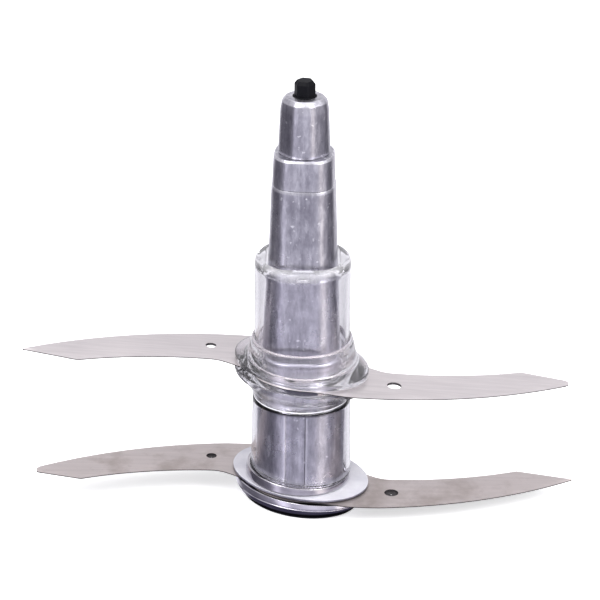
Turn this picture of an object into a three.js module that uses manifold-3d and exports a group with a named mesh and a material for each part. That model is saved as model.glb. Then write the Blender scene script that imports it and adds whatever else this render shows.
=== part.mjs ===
// Two-tier S-blade chopper rotor.
// A stepped die-cast spindle stands on a large hub core. The lower blade is clamped between the
// lower flange and the foot. The upper tier (sleeve, collar, blade and cone) is keyed to the core
// and lifts off along the spindle. Millimetres, +Z up, origin on the spindle's axis at the floor.

import * as THREE from 'three';
import { mergeVertices } from 'three/addons/utils/BufferGeometryUtils.js';
import Module from 'manifold-3d';

const wasm = await Module();
wasm.setup();

// ---- Driving dimensions -------------------------------------------------------------------

const SEGMENTS = 36; // sides of every turned piece
const GAP = 0.3; // room left between a piece and the tilted face that it rests on
const EASE = 0.06; // room left between level faces that touch
const FIT = 0.15; // radial room of a piece that is pressed or slid over another

// Blades: S-shaped strips, each arm bounded by two arcs. The left arm is the right one turned
// half a turn about the spindle.
const BLADE_THICK = 0.6;
const EDGE_THICK = 0.22;
const BEVEL_SHARE = 0.16; // share of the width that the ground bevel takes
const BLADE_REACH = 64.4;
const OUTER_ARC = { x: 9.7, y: 85.9, radius: 100.2 };
const INNER_ARC = { x: 21, y: 82.9, radius: 83.1 };
const ROOT_X = 15; // where the arm's inner edge turns in to the hub
const ROOT_RADIUS = 13.2; // round middle of the strip, under the collar
const CORNER_X = 51.5; // where the inner edge turns to the tip
const TIP_Y = 2.3;
const BLUNT_X = 62.2; // reach of the arm with the clipped tip
const HOLE = { x: 21.3, y: -7, right: 1.65, left: 1.25 };
const LENGTH_STEPS = 52;
const WIDTH_SHARES = [0, BEVEL_SHARE, 0.34, 0.5, 0.66, 1 - BEVEL_SHARE, 1];
const WIDTH_STEPS = WIDTH_SHARES.length - 1;

// Tilts, as the fall in Z per millimetre towards +X.
const UPPER_TILT = 0.073;
const LOWER_TILT = 0.05;
const LOWER_ARM_TILT = 0.016; // the lower arms are set back up outside the flange
const BEND_X = 18;
const SEAT_TILT = 0.11; // top of the ring round the barrel's base

// Ovals: half length, half width and the turn of the long side about Z.
const FLANGE_OVAL = { long: 16.7, short: 13.1, turn: -28 };
const FOOT_OVAL = { long: 16.2, short: 12.6, turn: -28 };
const SOLE_OVAL = { long: 14.4, short: 11.2, turn: -32 };
const COLLAR_OVAL = { long: 16.1, short: 13.4, turn: -28 };
const CONE_OVAL = { long: 16.3, short: 14.7, turn: -40 };

// Heights, from the floor up.
const SOLE_TOP = 0.5;
const LOWER_BLADE_Z = 5.1;
const FLANGE_TOP = 6.2;
const SEAT_TOP = 8.1;
const BARREL_TOP = 26.9;
const SEAL_TOP = 27.3;
const UPPER_BLADE_Z = 33.6;
const CORE_TOP = 38.4;
const NECK_TOP = 41.6;
const SLEEVE_TOP = 61.8;
const SPINDLE_TOP = 80;
const HEAD_BOTTOM = 87.2;
const HEAD_TOP = 100.4;
const PIN_TOP = 104;
const PIN_ROOT = 93; // lower end of the pin, inside the head
const TENON_TOP = 91; // the spindle's upper tenon, inside the head
const TENON_BOTTOM = 28; // its lower one, inside the core
const BUSH_TOP = 22;
const PAD_TOP = 24.9; // thrust pad over the bush

// Radii and half widths.
const CORE_R = 10.3;
const BARREL_TOP_R = 11.4;
const BARREL_BOTTOM_R = 11.75;
const BARREL_WALL = 0.95;
const SEAT_R = 12.2;
const SEAT_SHIFT = { x: -0.7, y: -0.6 }; // the seat ring stands a little off the axis
const SLEEVE_R = 11;
const SLEEVE_BORE = 10.15;
const MOUTH_HALF = 8.35; // rounded square mouth in the sleeve's top
const MOUTH_ROUND = 0.58;
const KEY_HALF = 9.2; // half width of the square block that drives the upper tier
const KEY_ROUND = 0.8; // its corner radius, as a share of the half width
const SPIGOT_HALF = 7.4;
const SPIGOT_ROUND = 0.45;
const SPIGOT_BOTTOM = 1.3;
const TENON_R = 3.4;
const BUSH_R = 4.75;
const BUSH_BORE = 4.1;
const BUSH_FOOT_R = 5.9;
const BUSH_FOOT_TOP = 1.2;
const PIN_HALF = 2.15;
const SKIRT_R = 2.5;
const FACET_EDGE = Math.PI / 6; // from the middle of the spindle's flats to their edges
const HEAD_FACET_EDGE = Math.PI / 9;
const FACET_TURN = THREE.MathUtils.degToRad(-4.5);
const FACET_SHARP = 30; // the larger, the sharper the facets meet
const LOOSE = 1; // how far a cutting tool reaches past the body that it cuts
const SCREW = { x: 8.85, radius: 0.95, head: 1.5, top: 12 };

// ---- Geometry helpers ---------------------------------------------------------------------

const UP = new THREE.Matrix4().makeRotationX(Math.PI / 2); // turns a lathe's axis from Y to Z

// A closed body of revolution about Z from [radius, z] pairs. The profile starts and ends on the
// axis, or comes back to its first point.
function turned(profile, segments = SEGMENTS) {
  const points = profile.map(([radius, z]) => new THREE.Vector2(radius, z));
  return new THREE.LatheGeometry(points, segments).applyMatrix4(UP);
}

function ring(inner, outer, bottom, top) {
  return turned([[inner, bottom], [outer, bottom], [outer, top], [inner, top], [inner, bottom]]);
}

function rod(radius, bottom, top, x = 0, y = 0, segments = SEGMENTS) {
  const height = top - bottom;
  const geometry = new THREE.CylinderGeometry(radius, radius, height, segments);
  return geometry.applyMatrix4(UP).translate(x, y, bottom + height / 2);
}

function screwHoles(bottom, top) {
  return [-1, 1].map((side) => rod(SCREW.radius + FIT, bottom, top, side * SCREW.x));
}

// Moves every vertex of a geometry with a function of its position.
function shaped(geometry, move) {
  const position = geometry.getAttribute('position');
  const point = new THREE.Vector3();
  for (let i = 0; i < position.count; i++) {
    point.fromBufferAttribute(position, i);
    move(point);
    position.setXYZ(i, point.x, point.y, point.z);
  }
  return geometry;
}

// Polar radius of a square of half width 1 whose corners have the radius `round`.
function squareRadius(angle, round) {
  const quarter = Math.PI / 2;
  const folded = Math.abs(angle - quarter * Math.round(angle / quarter));
  if (Math.tan(folded) <= 1 - round) return 1 / Math.cos(folded);
  const middle = (1 - round) * (Math.cos(folded) + Math.sin(folded));
  return middle + Math.sqrt(middle * middle - 2 * (1 - round) ** 2 + round ** 2);
}

// Turns a body of revolution into one with a rounded square section.
function squared(geometry, roundAt) {
  return shaped(geometry, (p) => {
    const stretch = squareRadius(Math.atan2(p.y, p.x), roundAt(p.z));
    p.x *= stretch;
    p.y *= stretch;
  });
}

function squareBar(half, round, bottom, top) {
  return squared(rod(half, bottom, top), () => round);
}

// Turns a body of revolution into one with four flats and four chamfers, set at FACET_TURN.
function faceted(geometry, edge) {
  const eighth = Math.PI / 4;
  const depth = Math.cos(eighth - edge) / Math.cos(edge);
  return shaped(geometry, (p) => {
    const angle = Math.atan2(p.y, p.x);
    const folded = Math.abs(angle - 2 * eighth * Math.round(angle / (2 * eighth)));
    const flat = 1 / Math.cos(folded);
    const chamfer = depth / Math.cos(eighth - folded);
    const stretch = (flat ** -FACET_SHARP + chamfer ** -FACET_SHARP) ** (-1 / FACET_SHARP);
    p.x *= stretch;
    p.y *= stretch;
  }).rotateZ(FACET_TURN);
}

// Radius of an oval in the direction of an angle.
function ovalRadius(oval, angle) {
  const along = angle - THREE.MathUtils.degToRad(oval.turn);
  return 1 / Math.hypot(Math.cos(along) / oval.long, Math.sin(along) / oval.short);
}

// Stretches the part of a turned body outside `keep` so that the radius `rim` lands on the oval.
function ovalled(geometry, keep, rim, ovalAt) {
  return shaped(geometry, (p) => {
    const radius = Math.hypot(p.x, p.y);
    if (radius <= keep) return;
    const wanted = ovalRadius(ovalAt(p.z), Math.atan2(p.y, p.x));
    const stretch = (keep + ((radius - keep) * (wanted - keep)) / (rim - keep)) / radius;
    p.x *= stretch;
    p.y *= stretch;
  });
}

// Lowers a body towards +X: fully at `full`, fading to nothing at `none`.
function leaned(geometry, tilt, full, none) {
  return shaped(geometry, (p) => {
    const share = THREE.MathUtils.clamp((p.z - none) / (full - none), 0, 1);
    p.z -= tilt * p.x * share;
  });
}

function solid(geometry) {
  const bare = geometry.clone();
  bare.deleteAttribute('normal');
  bare.deleteAttribute('uv');
  const merged = mergeVertices(bare, 1e-4);
  const mesh = new wasm.Mesh({
    numProp: 3,
    vertProperties: new Float32Array(merged.getAttribute('position').array),
    triVerts: new Uint32Array(merged.index.array),
  });
  return new wasm.Manifold(mesh);
}

function cutBody(body, ...tools) {
  return tools.reduce((left, tool) => left.subtract(solid(tool)), body);
}

function cut(geometry, ...tools) {
  return cutBody(solid(geometry), ...tools);
}

function joined(...pieces) {
  return pieces.map(solid).reduce((body, piece) => body.add(piece));
}

function drawn(body) {
  const { vertProperties, triVerts } = body.getMesh();
  const geometry = new THREE.BufferGeometry();
  geometry.setAttribute('position', new THREE.BufferAttribute(vertProperties, 3));
  geometry.setIndex(new THREE.BufferAttribute(triVerts, 1));
  geometry.computeVertexNormals();
  return geometry;
}

// ---- Materials ----------------------------------------------------------------------------

const CAST = { color: 0x9c9ba6, roughness: 0.38, metalness: 1 };
const POLISHED = { color: 0xb7b4c2, roughness: 0.18, metalness: 1 };
const STEEL = { color: 0xcfc9c8, roughness: 0.42, metalness: 1 };
const CLEAR = { color: 0xe9e7f4, roughness: 0.06, metalness: 0, transparent: true, opacity: 0.3 };
const BLACK = { color: 0x141318, roughness: 0.5, metalness: 0 };
const NYLON = { color: 0xe4e0d4, roughness: 0.55, metalness: 0 };

function piece(name, geometry, finish) {
  const mesh = new THREE.Mesh(geometry, new THREE.MeshStandardMaterial(finish));
  mesh.name = name;
  return mesh;
}

// ---- Spindle, head and pin ----------------------------------------------------------------

// Hexagonal nylon pin with a bevelled end and a round skirt, set in the drive head's socket.
function drivePin() {
  const across = PIN_HALF / Math.cos(Math.PI / 6);
  const hex = turned([[0, PIN_ROOT], [across, PIN_ROOT], [across, PIN_TOP - 0.7],
    [across - 0.6, PIN_TOP], [0, PIN_TOP]], 6);
  return drawn(joined(hex, rod(SKIRT_R, PIN_ROOT, HEAD_TOP + FIT)));
}

function driveHead() {
  const body = turned([[0, HEAD_BOTTOM], [5.65, HEAD_BOTTOM], [5.72, HEAD_BOTTOM + 0.6],
    [5.3, 97.5], [5.05, 99.3], [4.4, 100.2], [3.6, HEAD_TOP], [0, HEAD_TOP]]);
  const socket = rod(SKIRT_R + FIT, PIN_ROOT - FIT, HEAD_TOP + LOOSE);
  const mortise = rod(TENON_R + FIT, HEAD_BOTTOM - LOOSE, TENON_TOP + FIT);
  return drawn(cut(faceted(body, HEAD_FACET_EDGE), socket, mortise));
}

function neckCollar() {
  const bottom = SPINDLE_TOP + EASE;
  const top = HEAD_BOTTOM - EASE;
  const body = turned([[0, bottom], [6.95, bottom], [6.65, top - 0.9], [6.3, top], [0, top]]);
  const mortise = rod(TENON_R + FIT, bottom - LOOSE, top + LOOSE);
  return drawn(cut(faceted(body, FACET_EDGE), mortise));
}

// Tapered spindle with chamfered corners. Round tenons hold the neck and the head above it and
// the hub core below it.
function spindle() {
  const bottom = CORE_TOP + EASE;
  const body = turned([[0, bottom], [8.6, bottom], [8.6, bottom + 0.7], [8.3, 50.5],
    [7.65, SLEEVE_TOP], [7.1, SPINDLE_TOP - 0.6], [6.85, SPINDLE_TOP], [0, SPINDLE_TOP]]);
  return drawn(joined(faceted(body, FACET_EDGE), rod(TENON_R, TENON_BOTTOM, TENON_TOP)));
}

// Die-cast hub core: a square spigot that keys the lower blade, a round barrel core and the
// square block that keys the upper blade.
function hubCore() {
  const bottom = FLANGE_TOP + 0.85;
  const seam = SEAL_TOP - 0.3;
  const barrel = turned([[0, bottom], [CORE_R, bottom], [CORE_R, seam + 0.6], [0, seam + 0.6]]);
  const face = leaned(barrel, LOWER_TILT, bottom, seam);
  const spigot = squareBar(SPIGOT_HALF, SPIGOT_ROUND, SPIGOT_BOTTOM, bottom + 1.4);
  const block = squareBar(KEY_HALF, KEY_ROUND, seam, CORE_TOP);
  const pocket = rod(BUSH_R + FIT, 0, PAD_TOP + 0.1);
  const mortise = rod(TENON_R + FIT, PAD_TOP - LOOSE, CORE_TOP + LOOSE);
  return drawn(cutBody(joined(face, spigot, block), pocket, mortise, ...screwHoles(5, SCREW.top + 0.3)));
}

// ---- Bottom bearing -----------------------------------------------------------------------

function bearingBush() {
  const bottom = 0.35;
  return turned([[BUSH_BORE, bottom], [BUSH_FOOT_R, bottom], [BUSH_FOOT_R, BUSH_FOOT_TOP],
    [BUSH_R, BUSH_FOOT_TOP], [BUSH_R, BUSH_TOP], [BUSH_BORE, BUSH_TOP], [BUSH_BORE, bottom]]);
}

function thrustPad() {
  return turned([[0, BUSH_TOP + EASE], [3.2, BUSH_TOP + EASE], [4.6, BUSH_TOP + 0.9],
    [4.6, PAD_TOP], [0, PAD_TOP]]);
}

// ---- Blades -------------------------------------------------------------------------------

function arcY(arc, x) {
  return arc.y - Math.sqrt(arc.radius ** 2 - (x - arc.x) ** 2);
}

// Outline of the arm that points to +X: its outer and inner edges at a distance x.
function outerEdge(x) {
  return arcY(OUTER_ARC, x);
}

function innerEdge(x, reach) {
  if (x <= CORNER_X) return arcY(INNER_ARC, x);
  const share = (x - CORNER_X) / (BLADE_REACH - CORNER_X);
  const edge = THREE.MathUtils.lerp(arcY(INNER_ARC, CORNER_X), TIP_Y, share);
  return x >= reach - 0.01 ? Math.max(edge, outerEdge(x) + 0.15) : edge;
}

// Lower and upper Y of the whole strip at x: an arm beyond the root, the round middle inside it.
function stripEdges(x, rightReach, leftReach) {
  const side = Math.sign(x) || 1;
  const reach = side > 0 ? rightReach : leftReach;
  const far = Math.abs(x);
  const hub = Math.sqrt(Math.max(ROOT_RADIUS ** 2 - far ** 2, 0));
  const blend = THREE.MathUtils.smoothstep(far, 2, ROOT_X - 3);
  const outer = THREE.MathUtils.lerp(-ROOT_RADIUS, outerEdge(far), blend);
  const root = THREE.MathUtils.smoothstep(far, ROOT_X - 6, ROOT_X + 6);
  const inner = THREE.MathUtils.lerp(Math.max(hub, 4.6), innerEdge(far, reach), root);
  return side > 0 ? [outer, inner] : [-inner, -outer];
}

// Strip blade with both long edges ground thin, its middle keyed to `half` and its gauge holes.
function blade({ z, tiltAt, rightReach, leftReach, half, round, screws }) {
  const box = new THREE.BoxGeometry(1, 1, 1, LENGTH_STEPS, WIDTH_STEPS, 1);
  const strip = shaped(box, (p) => {
    const x = THREE.MathUtils.lerp(-leftReach, rightReach, p.x + 0.5);
    const [low, high] = stripEdges(x, rightReach, leftReach);
    const share = WIDTH_SHARES[Math.round((p.y + 0.5) * WIDTH_STEPS)];
    const onEdge = share === 0 || share === 1;
    const rise = ((onEdge ? EDGE_THICK : BLADE_THICK) / 2) * Math.sign(p.z);
    p.set(x, THREE.MathUtils.lerp(low, high, share), z + rise - tiltAt(x));
  });
  const bottom = z - 5;
  const top = z + 5;
  const holes = [
    rod(HOLE.right, bottom, top, HOLE.x, HOLE.y, 16),
    rod(HOLE.left, bottom, top, -HOLE.x, -HOLE.y, 16),
    squareBar(half + FIT, round, bottom, top),
    ...(screws ? screwHoles(bottom, top) : []),
  ];
  return drawn(cut(strip, ...holes));
}

function upperBlade() {
  return blade({
    z: UPPER_BLADE_Z, tiltAt: (x) => UPPER_TILT * x, rightReach: BLUNT_X, leftReach: BLADE_REACH,
    half: KEY_HALF, round: KEY_ROUND, screws: false,
  });
}

function lowerTiltAt(x) {
  const near = Math.min(Math.abs(x), BEND_X);
  return Math.sign(x) * (LOWER_TILT * near + LOWER_ARM_TILT * (Math.abs(x) - near));
}

function lowerBlade() {
  return blade({
    z: LOWER_BLADE_Z, tiltAt: lowerTiltAt, rightReach: BLADE_REACH, leftReach: BLUNT_X,
    half: SPIGOT_HALF, round: SPIGOT_ROUND, screws: true,
  });
}

// ---- Lower tier ---------------------------------------------------------------------------

function footSole() {
  const rim = 12;
  const body = turned([[6.6, 0], [rim - 0.3, 0], [rim, 0.25], [rim, SOLE_TOP], [6.6, SOLE_TOP],
    [6.6, 0]]);
  return ovalled(body, 8, rim, () => SOLE_OVAL);
}

function footCup() {
  const bottom = SOLE_TOP + EASE;
  const top = LOWER_BLADE_Z - BLADE_THICK / 2 - GAP;
  const rim = 12;
  const widest = 2.8; // the height from which the cup has its full oval
  const body = turned([[0, bottom], [rim - 0.3, bottom], [rim + 0.1, 1.7], [rim, widest - 0.2],
    [rim, top], [0, top]]);
  const between = (z) => {
    const share = THREE.MathUtils.smoothstep(z, SOLE_TOP, widest);
    const mix = (key) => THREE.MathUtils.lerp(SOLE_OVAL[key], FOOT_OVAL[key], share);
    return { long: mix('long'), short: mix('short'), turn: mix('turn') };
  };
  const outside = leaned(ovalled(body, 8, rim, between), LOWER_TILT, top, bottom + 0.9);
  const seats = [-1, 1].map((side) => rod(SCREW.head + FIT, 0, 2, side * SCREW.x));
  const pocket = squareBar(SPIGOT_HALF + FIT, SPIGOT_ROUND, SPIGOT_BOTTOM - EASE, top + LOOSE);
  const hole = rod(BUSH_FOOT_R + 2 * FIT, 0, top + LOOSE);
  return drawn(cut(outside, hole, pocket, ...screwHoles(0, top + LOOSE), ...seats));
}

function lowerFlange() {
  const bottom = LOWER_BLADE_Z + BLADE_THICK / 2 + GAP;
  const rim = 13;
  const chamfer = 0.12;
  const body = turned([[0, bottom], [rim - chamfer, bottom], [rim, bottom + chamfer],
    [rim, FLANGE_TOP - chamfer], [rim - chamfer, FLANGE_TOP], [0, FLANGE_TOP]]);
  const outside = leaned(ovalled(body, 10, rim, () => FLANGE_OVAL), LOWER_TILT, 0, -LOOSE);
  const hole = squareBar(SPIGOT_HALF + FIT, SPIGOT_ROUND, bottom - LOOSE, FLANGE_TOP + LOOSE);
  return drawn(cut(outside, hole, ...screwHoles(bottom - LOOSE, FLANGE_TOP + LOOSE)));
}

// Wedge-shaped ring at the barrel's foot: level with the flange below, steeper on top.
function baseRing() {
  const bottom = FLANGE_TOP + GAP;
  const middle = (bottom + SEAT_TOP) / 2;
  const disc = shaped(rod(SEAT_R, bottom, SEAT_TOP, SEAT_SHIFT.x, SEAT_SHIFT.y), (p) => {
    p.z -= (p.z > middle ? SEAT_TILT : LOWER_TILT) * p.x;
  });
  return drawn(cut(disc, rod(CORE_R + FIT, bottom - 2, SEAT_TOP + 2)));
}

function hubBarrel() {
  const bottom = SEAT_TOP + GAP;
  const body = turned([[BARREL_BOTTOM_R - BARREL_WALL, bottom], [BARREL_BOTTOM_R, bottom],
    [BARREL_TOP_R, BARREL_TOP], [BARREL_TOP_R - BARREL_WALL, BARREL_TOP],
    [BARREL_BOTTOM_R - BARREL_WALL, bottom]]);
  return leaned(body, SEAT_TILT, bottom, BARREL_TOP);
}

function seamSeal() {
  return ring(CORE_R + FIT, BARREL_TOP_R - 0.1, BARREL_TOP + EASE, SEAL_TOP);
}

function clampScrew(side) {
  const { x, radius, head, top } = SCREW;
  return turned([[0, SOLE_TOP + 0.15], [head, SOLE_TOP + 0.15], [head, 1.8], [radius, 1.8],
    [radius, top], [0, top]], 12).translate(side * x, 0, 0);
}

// ---- Upper tier ---------------------------------------------------------------------------

function upperSleeve() {
  const bottom = UPPER_BLADE_Z + BLADE_THICK / 2 + GAP + 1.2;
  const lip = SLEEVE_TOP - 1.9; // underside of the lip round the mouth
  const inside = MOUTH_HALF - 2; // the mouth is cut out of a lip that reaches in this far
  const body = turned([[SLEEVE_BORE, bottom], [SLEEVE_R, bottom], [SLEEVE_R, SLEEVE_TOP - 1.5],
    [SLEEVE_R - 0.4, SLEEVE_TOP - 0.5], [SLEEVE_R - 1.3, SLEEVE_TOP], [inside, SLEEVE_TOP],
    [inside, lip], [SLEEVE_BORE - 0.8, lip], [SLEEVE_BORE, lip - 0.8], [SLEEVE_BORE, bottom]]);
  const mouth = squareBar(MOUTH_HALF, MOUTH_ROUND, lip - LOOSE, SLEEVE_TOP + LOOSE);
  return drawn(cut(body, mouth));
}

// Oval collar above the blade, with a coned neck round the sleeve's foot.
function upperCollar() {
  const bottom = UPPER_BLADE_Z + BLADE_THICK / 2 + GAP;
  const rim = 14;
  const body = turned([[0, bottom], [rim, bottom], [rim, bottom + 0.9], [rim - 0.4, bottom + 1.4],
    [13, 36.6], [12.6, 38.2], [12.3, 39.4], [11.7, NECK_TOP], [0, NECK_TOP]]);
  const outside = leaned(ovalled(body, 12.7, rim, () => COLLAR_OVAL), UPPER_TILT, bottom + 1.4, 39);
  const seat = rod(SLEEVE_R + FIT, bottom + 1.1, NECK_TOP + LOOSE);
  const hole = squareBar(KEY_HALF + FIT, KEY_ROUND, bottom - 3, NECK_TOP);
  return drawn(cut(outside, seat, hole));
}

// Cone below the blade: an oval rim that narrows to the barrel's round top.
function coneCollar() {
  const top = UPPER_BLADE_Z - BLADE_THICK / 2 - GAP;
  const bottom = SEAL_TOP + EASE;
  const bore = CORE_R + 2 * FIT;
  const rim = 14.6;
  const rimBottom = 32.1;
  const body = turned([[bore, bottom], [BARREL_TOP_R, bottom], [11.9, 29], [13.6, 31],
    [rim, rimBottom], [rim, top], [bore, top], [bore, bottom]]);
  const roundToOval = (z) => {
    const share = THREE.MathUtils.clamp(THREE.MathUtils.inverseLerp(28, rimBottom, z), 0, 1);
    const mix = (key) => THREE.MathUtils.lerp(rim, CONE_OVAL[key], share);
    return { long: mix('long'), short: mix('short'), turn: CONE_OVAL.turn };
  };
  return leaned(ovalled(body, 11, rim, roundToOval), UPPER_TILT, 31.5, bottom);
}

// ---- Assembly -----------------------------------------------------------------------------

const rotor = new THREE.Group();
rotor.add(
  piece('drive_pin', drivePin(), BLACK),
  piece('drive_head', driveHead(), CAST),
  piece('neck_collar', neckCollar(), CAST),
  piece('spindle', spindle(), CAST),
  piece('hub_core', hubCore(), CAST),
  piece('bearing_bush', bearingBush(), NYLON),
  piece('thrust_pad', thrustPad(), NYLON),
  piece('base_ring', baseRing(), POLISHED),
  piece('hub_barrel', hubBarrel(), CLEAR),
  piece('seam_seal', seamSeal(), NYLON),
  piece('lower_flange', lowerFlange(), CLEAR),
  piece('lower_blade', lowerBlade(), STEEL),
  piece('foot_cup', footCup(), POLISHED),
  piece('foot_sole', footSole(), BLACK),
  piece('clamp_screw_left', clampScrew(-1), STEEL),
  piece('clamp_screw_right', clampScrew(1), STEEL),
);

const upperTier = new THREE.Group();
upperTier.add(
  piece('upper_sleeve', upperSleeve(), CLEAR),
  piece('upper_collar', upperCollar(), CLEAR),
  piece('upper_blade', upperBlade(), STEEL),
  piece('cone_collar', coneCollar(), CLEAR),
);
rotor.add(upperTier);

export default rotor;
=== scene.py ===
"""Looks of the two-tier chopper blade rotor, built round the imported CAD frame.

Shapes are in millimetres until a mesh is made; lamps and node distances are in metres. +Z is up,
and the spindle's axis is X = Y = 0.
"""

import math

import bmesh
import bpy
import numpy as np
from mathutils import Matrix, Vector

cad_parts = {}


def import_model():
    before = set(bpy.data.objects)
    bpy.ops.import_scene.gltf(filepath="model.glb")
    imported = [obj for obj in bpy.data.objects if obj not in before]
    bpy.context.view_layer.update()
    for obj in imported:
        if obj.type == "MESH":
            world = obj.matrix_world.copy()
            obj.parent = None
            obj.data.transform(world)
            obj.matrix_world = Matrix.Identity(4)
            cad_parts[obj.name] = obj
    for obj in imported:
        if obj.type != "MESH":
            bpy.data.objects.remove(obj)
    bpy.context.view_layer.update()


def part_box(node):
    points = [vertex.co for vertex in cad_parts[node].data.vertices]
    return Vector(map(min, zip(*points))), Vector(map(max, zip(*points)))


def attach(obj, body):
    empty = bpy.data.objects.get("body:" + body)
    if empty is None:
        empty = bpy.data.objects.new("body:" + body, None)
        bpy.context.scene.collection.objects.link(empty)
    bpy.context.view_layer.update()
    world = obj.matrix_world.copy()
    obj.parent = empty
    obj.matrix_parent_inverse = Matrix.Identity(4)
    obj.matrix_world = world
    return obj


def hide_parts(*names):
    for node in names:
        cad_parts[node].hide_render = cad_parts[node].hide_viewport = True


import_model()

MM = 0.001
TAU = 2 * math.pi
WELD = 1e-7  # metres


# ---- Places taken from the frame ----------------------------------------------------------

def low(node):
    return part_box(node)[0] / MM


def high(node):
    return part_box(node)[1] / MM


PIN_TOP = high("drive_pin").z
HEAD_TOP = high("drive_head").z
HEAD_BOTTOM = low("drive_head").z
NECK_BOTTOM = low("neck_collar").z
SLEEVE_TOP = high("upper_sleeve").z
SLEEVE_BOTTOM = low("upper_sleeve").z
SLEEVE_R = high("upper_sleeve").x
COLLAR_TOP = high("upper_collar").z
CONE_BOTTOM = low("cone_collar").z
CORE_TOP = high("hub_core").z
SEAL_TOP = high("seam_seal").z
SEAL_BOTTOM = low("seam_seal").z
BARREL_TOP = high("hub_barrel").z
SOLE_TOP = high("foot_sole").z
BUSH_TOP = high("bearing_bush").z
PAD_TOP = high("thrust_pad").z
UPPER_BLADE_Z = (low("upper_blade").z + high("upper_blade").z) / 2
LOWER_BLADE_Z = (low("lower_blade").z + high("lower_blade").z) / 2
BLADE_REACH = high("lower_blade").x
BLUNT_REACH = high("upper_blade").x
UPPER_LEFT_REACH = -low("upper_blade").x
LOWER_LEFT_REACH = -low("lower_blade").x

# ---- Driving dimensions of the detail -----------------------------------------------------

# A radius is half the width across flats where a section isn't round. A profile is a list of
# (radius, z, fillet) corners, an arc is (centre X, centre Y, radius), and an oval is (long half
# axis, short half axis, turn in degrees).

FIT = 0.15  # play round pieces that slide or slip over each other
GAP = 0.3  # left between pieces that meet on a tilt
SEAM = 0.06  # visible joint line

BLADE_THICK = 0.6
EDGE_THICK = 0.22
BEVEL = 1.7
UPPER_TILT = 0.073  # fall in Z per millimetre towards +X
LOWER_TILT = 0.05
LOWER_ARM_TILT = 0.016  # beyond BEND_X
BEND_X = 18
OUTER_ARC = (9.7, 85.9, 100.2)
INNER_ARC = (21.0, 82.9, 83.1)
CORNER_X = 51.5  # where the straight edge to the tip starts
TIP_Y = 2.3
TIP_LEAST = 0.15  # width of the strip at a pointed tip
NOSE = 0.7  # length of a clipped tip's rounding
NOSE_SHARE = 0.3  # how far the rounding draws each edge in
ROOT_X = 15
ROOT_RADIUS = 13.2
ROOT_EASE = 6
WAIST_Y = 4.6
HOLE = (21.3, -7.0)
RIGHT_HOLE_R = 1.65
LEFT_HOLE_R = 1.25
SCREW_X = 8.85
SCREW_HOLE_R = 1.1
STRIP_STEPS = 261
PIERCE = 6  # how far a round cutter reaches over and under a blade
KEY_PIERCE = 8

FACET_EDGE = math.pi / 6  # from the middle of the spindle's flats to their edges
HEAD_FACET_EDGE = math.pi / 9
FACET_TURN = math.radians(-4.5)
FACET_SHARP = 13  # higher is crisper
HEAD_BORE = 3.6
PIN_SOCKET = 2.72

CORE_R = 10.3
CORE_TURN_TOP = 27.6
KEY_HALF = 9.2
KEY_CORNER = 0.8  # 0 is a sharp square, 1 is round
SPIGOT_HALF = 7.4
SPIGOT_CORNER = 0.45
SEAT_TILT = 0.11
FLANGE_TOP = 6.2
SEAT_TOP = 8.1
SEAT_R = 12.2
SEAT_SHIFT = np.array((-0.7, -0.6))
BUSH_BORE = 4.1
BUSH_R = 4.75

FLANGE_OVAL = (16.7, 13.1, -28)
FOOT_OVAL = (16.2, 12.6, -28)
SOLE_OVAL = (14.4, 11.2, -32)
COLLAR_OVAL = (16.1, 13.4, -28)
CONE_OVAL = (16.3, 14.7, -40)


# ---- Shape helpers ------------------------------------------------------------------------

ARC_POINTS = 6
FILLET_MOST = 0.48  # of the shorter side next to a corner


def filleted(corners, closed=False):
    """A profile as points, with a curve in place of each corner that has a fillet."""
    points = []
    count = len(corners)
    for i, (r, z, fillet) in enumerate(corners):
        here = np.array((r, z), float)
        ends = not closed and i in (0, count - 1)
        if fillet <= 0 or ends:
            points.append(here)
            continue
        before = np.array(corners[i - 1][:2], float) - here
        after = np.array(corners[(i + 1) % count][:2], float) - here
        reach_before, reach_after = np.linalg.norm(before), np.linalg.norm(after)
        before, after = before / reach_before, after / reach_after
        half = math.acos(np.clip(before @ after, -1, 1)) / 2
        most = FILLET_MOST * min(reach_before, reach_after)
        back = min(fillet / math.tan(half), most)
        for t in np.linspace(0, 1, ARC_POINTS):
            curve = (1 - t) ** 2 * before * back + t ** 2 * after * back
            points.append(here + curve)
    return np.array(points)


def refined(points, closed, step):
    """Splits a profile's long stretches, so that leans and facets bend them smoothly."""
    ring = np.vstack([points, points[:1]]) if closed else points
    out = []
    for a, b in zip(ring[:-1], ring[1:]):
        cuts = max(1, int(np.linalg.norm(b - a) / step))
        out += [a + (b - a) * k / cuts for k in range(cuts)]
    if not closed:
        out.append(ring[-1])
    return np.array(out)


def turned(name, corners, move=None, closed=False, sides=144, step=2.0):
    """A body of revolution from a profile; `move` maps its points, in millimetres."""
    profile = refined(filleted(corners, closed), closed, step)
    angles = np.arange(sides) / sides * TAU
    r, z = profile[:, 0], profile[:, 1]
    grid = np.stack([np.outer(np.cos(angles), r), np.outer(np.sin(angles), r),
                     np.outer(np.ones(sides), z)], axis=2)
    rows = len(profile)
    points = grid.reshape(-1, 3)
    if move:
        points = move(points)
    faces = []
    spans = rows if closed else rows - 1
    for i in range(sides):
        j = (i + 1) % sides
        for k in range(spans):
            n = (k + 1) % rows
            faces.append((i * rows + k, j * rows + k, j * rows + n, i * rows + n))
    return mesh_object(name, points, faces)


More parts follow.
